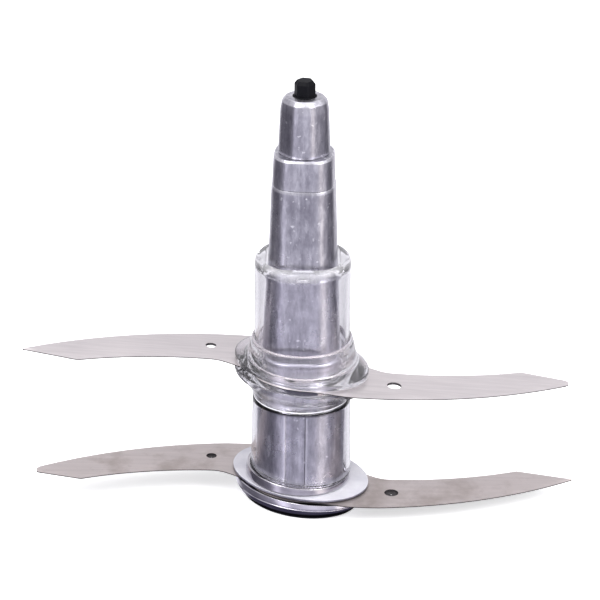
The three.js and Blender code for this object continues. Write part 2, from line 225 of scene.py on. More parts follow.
def mesh_object(name, points, faces):
    """A smooth-shaded object from points in millimetres, with doubled points merged."""
    mesh = bpy.data.meshes.new(name)
    mesh.from_pydata((points * MM).tolist(), [], faces)
    work = bmesh.new()
    work.from_mesh(mesh)
    bmesh.ops.remove_doubles(work, verts=work.verts, dist=WELD)
    bmesh.ops.dissolve_degenerate(work, edges=work.edges, dist=WELD)
    bmesh.ops.recalc_face_normals(work, faces=work.faces)
    work.to_mesh(mesh)
    work.free()
    obj = bpy.data.objects.new(name, mesh)
    bpy.context.scene.collection.objects.link(obj)
    mesh.shade_smooth()
    return obj


def square_radius(angle, corner):
    """Distance to the outline of a square of half width 1, whose corners have radius `corner`."""
    quarter = math.pi / 2
    folded = np.abs(angle - quarter * np.round(angle / quarter))
    middle = (1 - corner) * (np.cos(folded) + np.sin(folded))
    inside = np.maximum(middle ** 2 - 2 * (1 - corner) ** 2 + corner ** 2, 0)
    return np.where(np.tan(folded) <= 1 - corner, 1 / np.cos(folded), middle + np.sqrt(inside))


def squared(corner):
    """Maps a round body to a rounded square one."""
    def move(points):
        out = points.copy()
        angle = np.arctan2(points[:, 1], points[:, 0])
        out[:, :2] *= square_radius(angle, corner)[:, None]
        return out
    return move


def faceted(edge):
    """Maps a round body to one with four flats and four chamfers, set at FACET_TURN."""
    eighth = math.pi / 4
    depth = math.cos(eighth - edge) / math.cos(edge)

    def move(points):
        out = points.copy()
        angle = np.arctan2(points[:, 1], points[:, 0]) - FACET_TURN
        folded = np.abs(angle - 2 * eighth * np.round(angle / (2 * eighth)))
        flat = 1 / np.cos(folded)
        chamfer = depth / np.cos(eighth - folded)
        stretch = (flat ** -FACET_SHARP + chamfer ** -FACET_SHARP) ** (-1 / FACET_SHARP)
        out[:, :2] *= stretch[:, None]
        return out
    return move


def oval_radius(oval, angle):
    """Distance to an oval's outline at an angle."""
    length, width, turn = oval
    a = angle - np.radians(turn)
    return 1 / np.hypot(np.cos(a) / length, np.sin(a) / width)


def ovalled(keep, rim, oval_at):
    """Stretches what lies outside `keep` so that the radius `rim` lands on the oval."""
    def move(points):
        out = points.copy()
        radius = np.hypot(points[:, 0], points[:, 1])
        angle = np.arctan2(points[:, 1], points[:, 0])
        wanted = oval_radius(oval_at(points[:, 2]), angle)
        grown = keep + (radius - keep) * (wanted - keep) / (rim - keep)
        scale = np.where(radius > keep, grown / np.maximum(radius, 1e-6), 1)
        out[:, :2] *= scale[:, None]
        return out
    return move


def leaned(tilt, full, none):
    """Tilts a body about Y: fully beyond the height `full`, and less towards `none`."""
    def move(points):
        out = points.copy()
        share = np.clip((points[:, 2] - none) / (full - none), 0, 1)
        out[:, 2] -= tilt * points[:, 0] * share
        return out
    return move


def chained(*moves):
    """Applies several maps in turn."""
    def move(points):
        for step in moves:
            points = step(points)
        return points
    return move


def steady(oval):
    """The same oval at every height."""
    return lambda z: oval


def blended(oval_a, oval_b, z_a, z_b):
    """One oval at z_a that turns into another at z_b."""
    def at(z):
        t = np.clip((z - z_a) / (z_b - z_a), 0, 1)
        return tuple(a + (b - a) * t for a, b in zip(oval_a, oval_b))
    return at


def cut_away(obj, cutters):
    """Cuts the cutters from a piece, which takes their material on the cut, and drops them."""
    for cutter in cutters:
        modifier = obj.modifiers.new("cut", "BOOLEAN")
        modifier.object = cutter
        modifier.solver = "EXACT"
        modifier.material_mode = "TRANSFER"
    bake(obj)
    for cutter in cutters:
        bpy.data.objects.remove(cutter)
    return obj


def bake(obj):
    """Makes an object's modifiers part of its mesh."""
    shape = obj.evaluated_get(bpy.context.evaluated_depsgraph_get())
    mesh = bpy.data.meshes.new_from_object(shape)
    obj.modifiers.clear()
    obj.data = mesh
    return obj


def shifted(x, y):
    """Moves a body sideways."""
    return lambda points: points + np.array((x, y, 0))


def rod(radius, middle, reach, move=None, sides=64):
    """A cutter that reaches the same distance over and under a middle height."""
    bottom = middle - reach
    top = middle + reach
    corners = [(0, bottom, 0), (radius, bottom, 0), (radius, top, 0), (0, top, 0)]
    tool = turned("cutter", corners, move, sides=sides, step=50)
    # The cut walls of the holes take this dark material: painted shade inside them.
    tool.data.materials.append(HOLE_SHADE)
    return tool


def creased(obj, degrees):
    """Smooth shading that keeps edges sharper than the angle."""
    obj.data.set_sharp_from_angle(angle=math.radians(degrees))
    return obj


# ---- Material helpers ---------------------------------------------------------------------

class Graph:
    """Short calls that add nodes to a node tree."""

    def __init__(self, tree):
        self.tree = tree

    def add(self, kind):
        return self.tree.nodes.new("ShaderNode" + kind)

    def link(self, output, socket):
        self.tree.links.new(output, socket)

    def feed(self, value, socket):
        """Gives a socket a number, a colour, or another node's output."""
        if isinstance(value, (int, float)):
            socket.default_value = value
        elif isinstance(value, tuple):
            socket.default_value = (*value, 1)
        else:
            self.link(value, socket)

    def axes(self, vector):
        """The X, Y and Z outputs of a vector."""
        node = self.add("SeparateXYZ")
        self.link(vector, node.inputs[0])
        return node.outputs

    def ramp(self, factor, *stops):
        """A colour ramp from (place, value) stops; a value is a grey or a colour."""
        node = self.add("ValToRGB")
        while len(node.color_ramp.elements) < len(stops):
            node.color_ramp.elements.new(0.5)
        for element, (place, value) in zip(node.color_ramp.elements, stops):
            color = value if isinstance(value, tuple) else (value,) * 3
            element.position = place
            element.color = (*color, 1)
        self.link(factor, node.inputs["Fac"])
        return node.outputs["Color"]

    def mix(self, factor, a, b):
        node = self.add("Mix")
        node.data_type = "RGBA"
        self.feed(factor, node.inputs[0])
        self.feed(a, node.inputs[6])
        self.feed(b, node.inputs[7])
        return node.outputs[2]

    def math(self, kind, a, b=0.0):
        node = self.add("Math")
        node.operation = kind
        self.feed(a, node.inputs[0])
        self.feed(b, node.inputs[1])
        return node.outputs[0]


class Surface(Graph):
    """A new material with its principled shader."""

    def __init__(self, name, color, metallic, roughness, **sockets):
        self.material = bpy.data.materials.new(name)
        self.material.use_nodes = True
        super().__init__(self.material.node_tree)
        self.shader = self.tree.nodes["Principled BSDF"]
        self.set("Base Color", (*color, 1))
        self.set("Metallic", metallic)
        self.set("Roughness", roughness)
        for socket, value in sockets.items():
            self.set(socket.replace("_", " "), value)
        self.place = self.add("TexCoord").outputs["Object"]

    def set(self, socket, value):
        self.shader.inputs[socket].default_value = value

    def noise(self, scale, detail=4, rough=0.55, stretch=(1, 1, 1)):
        mapping = self.add("Mapping")
        mapping.inputs["Scale"].default_value = stretch
        self.link(self.place, mapping.inputs["Vector"])
        node = self.add("TexNoise")
        node.inputs["Scale"].default_value = scale
        node.inputs["Detail"].default_value = detail
        node.inputs["Roughness"].default_value = rough
        self.link(mapping.outputs["Vector"], node.inputs["Vector"])
        return node.outputs[0]

    def upward(self):
        """The Z of the surface's normal: 1 on level tops, 0 on upright sides."""
        return self.axes(self.add("NewGeometry").outputs["Normal"])[2]

    def edge_wear(self, start=0.5, full=0.56):
        pointiness = self.add("NewGeometry").outputs["Pointiness"]
        return self.ramp(pointiness, (start, 0.0), (full, 1.0))

    def bump(self, height, strength, distance, after=None):
        node = self.add("Bump")
        node.inputs["Strength"].default_value = strength
        node.inputs["Distance"].default_value = distance
        self.link(height, node.inputs["Height"])
        if after is not None:
            self.link(after, node.inputs["Normal"])
        return node.outputs["Normal"]

    def finish(self, color, roughness, normal):
        self.link(color, self.shader.inputs["Base Color"])
        self.link(roughness, self.shader.inputs["Roughness"])
        self.link(normal, self.shader.inputs["Normal"])
        return self.material


def shade(color, share):
    """A colour made darker."""
    return tuple(c * share for c in color)


def cast_metal():
    """Dull die-cast aluminium: mottled tone, rubbed streaks along Z, flecks and bright edges."""
    m = Surface("cast_metal", (0.5, 0.49, 0.54), 1.0, 0.34)
    clouds = m.noise(110, 6, 0.62)
    streaks = m.noise(420, 6, 0.65, stretch=(1, 1, 0.09))
    rubs = m.noise(640, 4, 0.6, stretch=(1, 1, 0.16))
    flecks = m.noise(760, 3, 0.5)
    mottle = m.noise(820, 6, 0.7, stretch=(1, 1, 0.35))
    base = m.ramp(clouds, (0.3, (0.33, 0.32, 0.375)), (0.5, (0.5, 0.49, 0.545)),
                  (0.7, (0.67, 0.655, 0.7)))
    base = m.mix(m.ramp(streaks, (0.47, 0.0), (0.66, 0.7)), base, (0.27, 0.26, 0.31))
    base = m.mix(m.ramp(rubs, (0.58, 0.0), (0.72, 0.7)), base, (0.8, 0.79, 0.84))
    base = m.mix(m.ramp(mottle, (0.3, 0.6), (0.5, 0.0)), base, (0.2, 0.19, 0.235))
    base = m.mix(m.ramp(mottle, (0.52, 0.0), (0.7, 0.5)), base, (0.82, 0.81, 0.86))
    base = m.mix(m.ramp(flecks, (0.66, 0.0), (0.73, 0.9)), base, (0.93, 0.92, 0.95))
    base = m.mix(m.edge_wear(0.5, 0.54), base, (0.9, 0.89, 0.93))
    rough = m.ramp(clouds, (0.3, 0.4), (0.7, 0.22))
    normal = m.bump(streaks, 0.3, 0.00012)
    normal = m.bump(mottle, 0.5, 0.00012, after=normal)
    normal = m.bump(clouds, 0.5, 0.0004, after=normal)
    return m.finish(base, rough, normal)


def polished_metal(name, dark, light):
    """Turned metal with a faint violet cast and fine rings."""
    m = Surface(name, light, 1.0, 0.16)
    rings = m.noise(700, 4, 0.5, stretch=(0.08, 0.08, 1))
    clouds = m.noise(120, 4)
    base = m.ramp(clouds, (0.3, dark), (0.7, light))
    base = m.mix(m.edge_wear(), base, (0.92, 0.9, 0.94))
    rough = m.ramp(clouds, (0.3, 0.1), (0.7, 0.26))
    normal = m.bump(rings, 0.12, 0.00008)
    normal = m.bump(clouds, 0.35, 0.0003, after=normal)
    return m.finish(base, rough, normal)


def blade_steel(name, tone, stain, stain_share):
    """Satin stamped stainless: grain along the blade, stains, and painted shade on its upright
    edges.
    """
    m = Surface(name, tone, 0.82, 0.4)
    grain = m.noise(900, 5, 0.6, stretch=(0.05, 1, 1))
    clouds = m.noise(85, 6, 0.62)
    spots = m.noise(310, 5, 0.7)
    base = m.ramp(grain, (0.3, shade(tone, 0.86)), (0.7, tone))
    base = m.mix(m.ramp(clouds, (0.5, 0.0), (0.68, stain_share)), base, stain)
    base = m.mix(m.ramp(spots, (0.6, 0.0), (0.74, stain_share * 0.7)), base, stain)
    # Painted shade: faces that stand upright are darkened, as if in shadow.
    upright = m.ramp(m.upward(), (0.3, 1.0), (0.7, 0.0))
    base = m.mix(upright, base, shade(tone, 0.12))
    rough = m.ramp(clouds, (0.3, 0.34), (0.75, 0.52))
    normal = m.bump(grain, 0.12, 0.00006)
    normal = m.bump(spots, 0.08, 0.00008, after=normal)
    return m.finish(base, rough, normal)


def clear_plastic(name, tint, wave=0.12, clear=1.0, lip=None):
    """Clear moulded plastic with a faint lavender tint and a slightly wavy surface.

    `lip` is a (from, to, share) band in Z, in millimetres, over which it turns milky: a painted
    highlight for the bright line along the rim.
    """
    rough = 0.02
    m = Surface(name, tint, 0.0, rough, Transmission_Weight=clear, IOR=1.46)
    waves = m.noise(110, 3)
    scratches = m.noise(1500, 3, 0.6, stretch=(1, 1, 0.1))
    roughness = m.ramp(scratches, (0.45, rough), (0.8, rough + 0.07))
    # Painted highlight: less light passes through near the rim, so it shows as a pale band.
    if lip:
        start, full, share = lip
        painted_rim_glint = m.add("MapRange")
        m.link(m.axes(m.place)[2], painted_rim_glint.inputs["Value"])
        painted_rim_glint.inputs["From Min"].default_value = start * MM
        painted_rim_glint.inputs["From Max"].default_value = full * MM
        painted_rim_glint.inputs["To Min"].default_value = 1.0
        painted_rim_glint.inputs["To Max"].default_value = share
        m.link(painted_rim_glint.outputs["Result"], m.shader.inputs["Transmission Weight"])
    base = m.ramp(waves, (0.3, tint), (0.8, shade(tint, 0.97)))
    return m.finish(base, roughness, m.bump(waves, wave, 0.0004))


def flange_plastic():
    """Milky moulded plate: pale on top, with painted shade darkening its rim."""
    m = Surface("flange_plastic", (0.85, 0.84, 0.9), 0.0, 0.16, Transmission_Weight=0.1, IOR=1.47)
    haze = m.noise(140, 5)
    face = m.ramp(haze, (0.3, (0.66, 0.65, 0.73)), (0.7, (0.9, 0.89, 0.94)))
    # Painted shade: faces round the rim that don't point up take these dark colours.
    rim = m.ramp(haze, (0.3, (0.05, 0.045, 0.07)), (0.75, (0.3, 0.29, 0.36)))
    base = m.mix(m.ramp(m.upward(), (0.5, 0.0), (0.9, 1.0)), rim, face)
    return m.finish(base, m.ramp(haze, (0.3, 0.1), (0.7, 0.25)), m.bump(haze, 0.15, 0.0003))


def moulded(name, color, rough, gloss=0.5):
    """Opaque moulded plastic with a fine grain and paler rubbed edges."""
    m = Surface(name, color, 0.0, rough, Specular_IOR_Level=gloss)
    fine = m.noise(900, 4)
    clouds = m.noise(200, 3)
    pale = tuple(min(1, c * 1.7 + 0.004) for c in color)
    base = m.mix(m.ramp(clouds, (0.35, 0.0), (0.8, 0.3)), color, pale)
    base = m.mix(m.edge_wear(0.51, 0.6), base, pale)
    roughness = m.ramp(clouds, (0.3, rough - 0.1), (0.7, rough + 0.1))
    return m.finish(base, roughness, m.bump(fine, 0.2, 0.00005))


CAST = cast_metal()
POLISHED = polished_metal("polished_metal", (0.47, 0.45, 0.53), (0.76, 0.73, 0.8))
# Painted shade: a darker copy of the polished metal, for the base ring.
SHADED_POLISHED = polished_metal("ring_metal_painted_shade", (0.2, 0.185, 0.24), (0.52, 0.49, 0.54))
UPPER_STEEL = blade_steel("upper_blade_steel", (0.77, 0.72, 0.725), (0.69, 0.65, 0.65), 0.3)
LOWER_STEEL = blade_steel("lower_blade_steel", (0.655, 0.59, 0.58), (0.4, 0.345, 0.325), 0.75)
SCREW_STEEL = blade_steel("screw_steel", (0.6, 0.6, 0.62), (0.4, 0.4, 0.4), 0.4)
# The milky band at the sleeve's top is a painted highlight along its rim.
SLEEVE = clear_plastic("sleeve_plastic", (0.97, 0.965, 0.99), lip=(59.9, 61.2, 0.74))
SHELL = clear_plastic("barrel_plastic", (0.94, 0.935, 0.97))
CLEAR = clear_plastic("collar_plastic", (0.95, 0.94, 0.975), wave=0.25, clear=0.975)
FROSTED = flange_plastic()
# Near-black painted shade for the hole walls and for the films inside the lower blade's holes.
HOLE_SHADE = moulded("hole_wall_painted_shade", (0.03, 0.026, 0.028), 0.6)
BLACK = moulded("black_nylon", (0.006, 0.006, 0.008), 0.4, gloss=0.06)
WHITE = moulded("white_nylon", (0.8, 0.78, 0.72), 0.5)
SEAL = moulded("seal", (0.78, 0.77, 0.84), 0.3)


def placed(obj, material, body, slot, *nodes):
    """Puts a piece on its body; `nodes` are the CAD nodes that it replaces."""
    if not obj.data.materials:  # a pierced blade already has its steel
        obj.data.materials.append(material)
    if material in (SLEEVE, SHELL, CLEAR):
        obj.visible_shadow = False  # lamps reach what is behind clear plastic
    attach(obj, body)
    if nodes:
        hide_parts(*nodes)
    return obj


# ---- Camera, floor and light --------------------------------------------------------------

def camera():
    """A long lens, 24.5 degrees above the table and rolled a little."""
    elevation = math.radians(24.5)
    roll = math.radians(0.63)
    distance = 0.6
    target = Vector((-0.58, 0, 50.6)) * MM
    data = bpy.data.cameras.new("camera")
    data.sensor_width = 36
    data.lens = 156.96
    data.clip_start = 0.01
    obj = bpy.data.objects.new("camera", data)
    bpy.context.scene.collection.objects.link(obj)
    offset = Vector((0, -math.cos(elevation), math.sin(elevation))) * distance
    turn = (-offset).to_track_quat("-Z", "Y").to_matrix().to_4x4()
    obj.matrix_world = Matrix.Translation(target + offset) @ turn @ Matrix.Rotation(roll, 4, "Z")
    bpy.context.scene.camera = obj


def floor():
    """White table that glows a little, and doesn't show in mirrors or through clear pieces."""
    reach = 3.0
    corners = [(-reach, -reach, 0), (reach, -reach, 0), (reach, reach, 0), (-reach, reach, 0)]
    mesh = bpy.data.meshes.new("floor")
    mesh.from_pydata(corners, [], [(0, 1, 2, 3)])
    obj = bpy.data.objects.new("floor", mesh)
    bpy.context.scene.collection.objects.link(obj)
    m = Surface("floor", (0.94, 0.94, 0.94), 0.0, 0.7)
    tone = m.ramp(m.noise(3), (0.2, 0.93), (0.8, 0.95))
    m.link(tone, m.shader.inputs["Base Color"])
    m.set("Emission Color", (1.0, 1.0, 1.0, 1))
    m.set("Emission Strength", 0.55)
    mesh.materials.append(m.material)
    obj.visible_glossy = False
    obj.visible_transmission = False


def light(name, place, size, power):
    """A square lamp that faces the middle of the part; place and size are in metres."""
    target = Vector((0, 0, 0.05))
    data = bpy.data.lights.new(name, "AREA")
    data.shape = "RECTANGLE"
    data.size = size
    data.size_y = size
    data.energy = power
    obj = bpy.data.objects.new(name, data)
    obj.location = place
    obj.rotation_euler = (target - Vector(place)).to_track_quat("-Z", "Y").to_euler()
    bpy.context.scene.collection.objects.link(obj)


def world():
    """Studio surround for the metal to mirror: pale at the back and front, dark at the sides.

    Two bright strips stand at the front's left and right. It is dark below and pale above.
    """
    data = bpy.data.worlds.new("studio")
    bpy.context.scene.world = data
    data.use_nodes = True
    g = Graph(data.node_tree)
    x, y, z = g.axes(g.add("TexCoord").outputs["Generated"])
    # 0 and 1 are the back (+Y), 0.25 the left (-X), 0.5 the front (-Y), 0.75 the right (+X)
    turn = g.math("ARCTAN2", x, g.math("MULTIPLY", y, -1.0))
    around = g.math("ADD", g.math("DIVIDE", turn, TAU), 0.5)
    back = (0.95, 0.94, 1.0)
    dark = (0.16, 0.155, 0.185)
    dim = (0.34, 0.33, 0.4)
    cool = (1.5, 1.47, 1.66)
    middle = (0.62, 0.61, 0.7)
    front = (0.92, 0.91, 1.02)
    warm = (2.0, 1.9, 1.84)
    sides = g.ramp(around, (0.1, back), (0.16, dark), (0.26, dark), (0.34, dim), (0.38, cool),
                   (0.41, middle), (0.5, front), (0.6, middle), (0.645, warm), (0.69, middle),
                   (0.76, dark), (0.84, dark), (0.9, back))
    height = g.math("MULTIPLY", g.math("ADD", z, 1.0), 0.5)
    below = g.ramp(height, (0.14, 0.0), (0.24, 1.0))
    above = g.ramp(height, (0.5, 0.0), (0.68, 1.0))
    color = g.mix(below, (0.06, 0.056, 0.09), sides)
    color = g.mix(above, color, (0.72, 0.715, 0.75))
    # what clear plastic lets straight through is white; what metal mirrors stays as above
    path = g.add("LightPath")
    unmirrored = g.math("SUBTRACT", 1.0, g.math("MINIMUM", path.outputs["Glossy Depth"], 1.0))
    through = g.math("MULTIPLY", path.outputs["Is Transmission Ray"], unmirrored)
    color = g.mix(through, color, (0.96, 0.955, 0.985))
    background = g.tree.nodes["Background"]
    g.link(color, background.inputs["Color"])
    background.inputs["Strength"].default_value = 1.0


# ---- Spindle, head and pin ----------------------------------------------------------------

def drive_pin():
    """Black hexagonal pin with a bevelled end, and the round skirt at its foot."""
    half = 2.48
    bevel = 0.62
    bevel_foot = PIN_TOP - 0.75
    root = HEAD_TOP - 5
    corners = [(0, root, 0), (half, root, 0), (half, bevel_foot, 0.12),
               (half - bevel, PIN_TOP, 0.12), (0, PIN_TOP, 0)]

    def hexed(points):
        """Six flats with narrow rounded corners."""
        out = points.copy()
        sixth = math.pi / 3
        angle = np.arctan2(points[:, 1], points[:, 0]) + math.radians(12)
        flat = math.cos(sixth / 2) / np.cos(angle % sixth - sixth / 2)
        out[:, :2] *= np.minimum(flat, 0.965)[:, None]
        return out
    pin = creased(turned("drive_pin_detail", corners, hexed), 25)
    placed(pin, BLACK, "rotor", "black_nylon", "drive_pin")
    skirt_r = 2.5
    skirt_foot = HEAD_TOP - 2
    skirt_top = HEAD_TOP + 0.15
    skirt = turned("drive_pin_skirt", [(0, skirt_foot, 0), (skirt_r, skirt_foot, 0),
                                       (skirt_r, skirt_top, 0.15), (0, skirt_top, 0)])
    placed(skirt, BLACK, "rotor", "black_nylon")


def drive_head():
    """Head that tapers in two stages to a rounded crown, with a socket for the pin."""
    foot_z = HEAD_BOTTOM
    top = HEAD_TOP
    shoulder_z = 97.4
    crown_z = 99.3
    corners = [(HEAD_BORE, foot_z, 0), (5.72, foot_z, 0.15), (5.85, foot_z + 0.7, 0.3),
               (5.45, shoulder_z, 2), (5.1, crown_z, 0.9), (4.3, top - 0.1, 0.6),
               (PIN_SOCKET, top, 0.12), (PIN_SOCKET, top - 3, 0), (HEAD_BORE, foot_z + 1, 0)]
    head = turned("drive_head_detail", corners, faceted(HEAD_FACET_EDGE), closed=True,
                  sides=216, step=0.8)
    placed(head, CAST, "rotor", "cast_metal", "drive_head")


def neck_collar():
    """Ring between the spindle and the head, with a small step at its top."""
    foot_z = NECK_BOTTOM
    top = HEAD_BOTTOM - SEAM
    corners = [(HEAD_BORE, foot_z, 0), (7.05, foot_z, 0.12), (6.77, top - 0.5, 0.35),
               (6.4, top, 0.15), (HEAD_BORE, top, 0)]
    neck = turned("neck_collar_detail", corners, faceted(FACET_EDGE), closed=True,
                  sides=216, step=0.8)
    placed(neck, CAST, "rotor", "cast_metal", "neck_collar")


def spindle():
    """Core that tapers from the hub to the neck, bent slightly at two heights."""
    foot_z = CORE_TOP + SEAM
    top = NECK_BOTTOM - SEAM
    lower_bend_z = 50.5
    upper_bend_z = 61.8
    corners = [(0, foot_z, 0), (8.75, foot_z, 0.2), (8.75, foot_z + 0.9, 0.3),
               (8.45, lower_bend_z, 3), (7.78, upper_bend_z, 3), (7.2, top - 0.7, 0.3),
               (6.97, top, 0.12), (0, top, 0)]
    body = turned("spindle_detail", corners, faceted(FACET_EDGE), sides=216, step=0.8)
    placed(body, CAST, "rotor", "cast_metal", "spindle")


def hub_core():
    """Round core with a shallow channel on each quarter, a square key block and a spigot."""
    bottom = FLANGE_TOP + 0.85
    quarter = math.pi / 2
    channel_turn = math.radians(-97.5)
    half_channel = math.radians(13.5)
    channel_share = 0.965  # of the radius
    level_z = 27

    def channelled(points):
        out = points.copy()
        angle = np.arctan2(points[:, 1], points[:, 0])
        folded = (angle - channel_turn + quarter / 2) % quarter - quarter / 2
        inside = np.abs(folded) < half_channel
        radius = np.hypot(points[:, 0], points[:, 1])
        share = np.where(inside & (radius > CORE_R - 0.2), channel_share, 1)
        out[:, :2] *= share[:, None]
        return out
    corners = [(5, bottom, 0), (CORE_R, bottom, 0.2), (CORE_R, CORE_TURN_TOP, 0.4),
               (5, CORE_TURN_TOP, 0)]
    move = chained(channelled, leaned(LOWER_TILT, bottom, level_z))
    core = turned("hub_core_barrel", corners, move, closed=True, sides=240, step=1.2)
    placed(creased(core, 30), CAST, "rotor", "cast_metal", "hub_core")
    key_foot = CORE_TURN_TOP - 0.3
    key = turned("hub_core_key", [(0, key_foot, 0), (KEY_HALF, key_foot, 0),
                                  (KEY_HALF, CORE_TOP, 0.5), (0, CORE_TOP, 0)],
                 squared(KEY_CORNER), step=1)
    placed(key, CAST, "rotor", "cast_metal")
    spigot_bore = 4.9
    spigot_foot = 1.3
    spigot_top = 8.5
    spigot = turned("hub_core_spigot", [(spigot_bore, spigot_foot, 0),
                                        (SPIGOT_HALF, spigot_foot, 0.2),
                                        (SPIGOT_HALF, spigot_top, 0),
                                        (spigot_bore, spigot_top, 0)],
                    squared(SPIGOT_CORNER), closed=True)
    placed(spigot, CAST, "rotor", "cast_metal")


# ---- Blades -------------------------------------------------------------------------------

def arc_y(arc, x):
    """Y of an arc's near side at x."""
    centre_x, centre_y, radius = arc
    return centre_y - np.sqrt(radius ** 2 - (x - centre_x) ** 2)


def ease(x, a, b):
    """A smooth step from 0 at a to 1 at b."""
    t = np.clip((x - a) / (b - a), 0, 1)
    return t * t * (3 - 2 * t)


def strip_edges(x, right, left):
    """Lower and upper Y of the S-shaped strip at each x."""
    far = np.abs(x)
    reach = np.where(x >= 0, right, left)
    outer = arc_y(OUTER_ARC, far)
    line = (far - CORNER_X) / (BLADE_REACH - CORNER_X)
    corner_y = arc_y(INNER_ARC, np.array(CORNER_X))
    inner = np.where(far <= CORNER_X, arc_y(INNER_ARC, np.minimum(far, CORNER_X)),
                     corner_y + (TIP_Y - corner_y) * line)
    inner = np.maximum(inner, outer + TIP_LEAST)
    clipped = reach < BLADE_REACH - 1
    nose = np.clip((far - (reach - NOSE)) / NOSE, 0, 1) * clipped
    middle = (inner + outer) / 2
    hub = np.maximum(np.sqrt(np.maximum(ROOT_RADIUS ** 2 - far ** 2, 0)), WAIST_Y)
    inner = hub + (inner - hub) * ease(far, ROOT_X - ROOT_EASE, ROOT_X + ROOT_EASE)
    outer = -ROOT_RADIUS + (outer + ROOT_RADIUS) * ease(far, 2, ROOT_X - 3)
    outer = outer + (middle - outer) * NOSE_SHARE * nose ** 2
    inner = inner + (middle - inner) * NOSE_SHARE * nose ** 2
    return np.where(x >= 0, outer, -inner), np.where(x >= 0, inner, -outer)


def blade(name, steel, z, tilt_at, right, left, key, screws):
    """Thin strip with ground edges, swept in even steps, then pierced.

    `key` is the half width and corner of its square hole, and `screws` adds two holes beside it.
    """
    corner_marks = np.array((CORNER_X, -CORNER_X))
    xs = np.unique(np.concatenate([np.linspace(-left, right, STRIP_STEPS), corner_marks]))
    low_y, high_y = strip_edges(xs, right, left)
    width = high_y - low_y
    inset = np.minimum(BEVEL, width * 0.4)
    lip = inset * 0.12
    half_edge = EDGE_THICK / 2
    half_lip = half_edge + 0.03
    half_thick = BLADE_THICK / 2
    across = [(0 * width, half_edge), (lip, half_lip), (inset, half_thick),
              (width * 0.5, half_thick), (width - inset, half_thick),
              (width - lip, half_lip), (width, half_edge)]
    middle = z - tilt_at(xs)
    top = [np.stack([xs, low_y + y, middle + half], 1) for y, half in across]
    under = [np.stack([xs, low_y + y, middle - half], 1) for y, half in across]
    loop = top + under[::-1]
    count, ring = len(xs), len(loop)
    points = np.stack(loop, 1).reshape(-1, 3)
    faces = [(i * ring + k, i * ring + (k + 1) % ring, (i + 1) * ring + (k + 1) % ring,
              (i + 1) * ring + k) for i in range(count - 1) for k in range(ring)]
    for end in (0, (count - 1) * ring):
        faces += [(end + k, end + k + 1, end + ring - 2 - k, end + ring - 1 - k)
                  for k in range(len(top) - 1)]
    obj = mesh_object(name, points, faces)
    obj.data.materials.append(steel)
    half_key, corner = key
    cutters = [
        rod(RIGHT_HOLE_R, z, PIERCE, shifted(*HOLE)),
        rod(LEFT_HOLE_R, z, PIERCE, shifted(-HOLE[0], -HOLE[1])),
        rod(half_key + FIT, z, KEY_PIERCE, squared(corner), sides=96),
    ]
    if screws:
        cutters += [rod(SCREW_HOLE_R, z, PIERCE, shifted(side * SCREW_X, 0), sides=32)
                    for side in (-1, 1)]
    return creased(cut_away(obj, cutters), 8)


def upper_tilt(x):
    return UPPER_TILT * x


def lower_tilt(x):
    near = np.minimum(np.abs(x), BEND_X)
    return np.sign(x) * (LOWER_TILT * near + LOWER_ARM_TILT * (np.abs(x) - near))


def painted_hole_shade(name, side, radius):
    """Dark film inside a hole of the lower blade: painted shade standing in for the hole's
    shadowed depth.
    """
    x = side * HOLE[0]
    z = LOWER_BLADE_Z - lower_tilt(x)
    inner, outer, foot_z = 0.1 * radius, radius - 0.02, z - 0.26
    corners = [(inner, foot_z, 0.02), (outer, foot_z, 0), (outer, z - 0.05, 0),
               (inner, z - 0.16, 0.02)]
    film = turned(f"painted_hole_shade_{name}", corners, shifted(x, side * HOLE[1]), closed=True,
                  sides=48, step=0.5)
    placed(film, HOLE_SHADE, "rotor", "blade_steel")


def blades():
    upper = blade("upper_blade_detail", UPPER_STEEL, UPPER_BLADE_Z, upper_tilt, BLUNT_REACH,
                  UPPER_LEFT_REACH, (KEY_HALF, KEY_CORNER), False)
    placed(upper, UPPER_STEEL, "upper_tier", "blade_steel", "upper_blade")
    lower = blade("lower_blade_detail", LOWER_STEEL, LOWER_BLADE_Z, lower_tilt, BLADE_REACH,
                  LOWER_LEFT_REACH, (SPIGOT_HALF, SPIGOT_CORNER), True)
    placed(lower, LOWER_STEEL, "rotor", "blade_steel", "lower_blade")
    painted_hole_shade("right", 1, RIGHT_HOLE_R)
    painted_hole_shade("left", -1, LEFT_HOLE_R)


# ---- Lower tier ---------------------------------------------------------------------------

def foot():
    """Polished oval cup under the lower blade, on a dark sole."""
    rim = 12
    sole_bore = 6.6
    sole = turned("foot_sole_detail", [(sole_bore, 0, 0.1), (rim - 0.3, 0, 0.2),
                                       (rim, 0.25, 0.1), (rim, SOLE_TOP, 0.05),
                                       (sole_bore, SOLE_TOP, 0)],
                  ovalled(8, rim, steady(SOLE_OVAL)), closed=True)
    placed(sole, BLACK, "rotor", "black_nylon", "foot_sole")
    top = LOWER_BLADE_Z - BLADE_THICK / 2 - GAP
    foot_z = SOLE_TOP + SEAM
    belly_z = 1.8
    groove_z = 2.85
    lip_z = 3.1
    cup_bore = 7.6
    corners = [(cup_bore, foot_z, 0), (rim - 0.3, foot_z, 0.3), (rim + 0.1, belly_z, 0.5),
               (rim - 0.05, 2.7, 0.25), (rim - 0.3, groove_z, 0.1), (rim, lip_z, 0.15),
               (rim, top, 0.3), (cup_bore, top, 0)]
    move = chained(ovalled(8, rim, blended(SOLE_OVAL, FOOT_OVAL, SOLE_TOP, 2.8)),
                   leaned(LOWER_TILT, top, SOLE_TOP + 1))
    cup = turned("foot_cup_detail", corners, move, closed=True, step=1)
    placed(cup, POLISHED, "rotor", "polished_metal", "foot_cup")


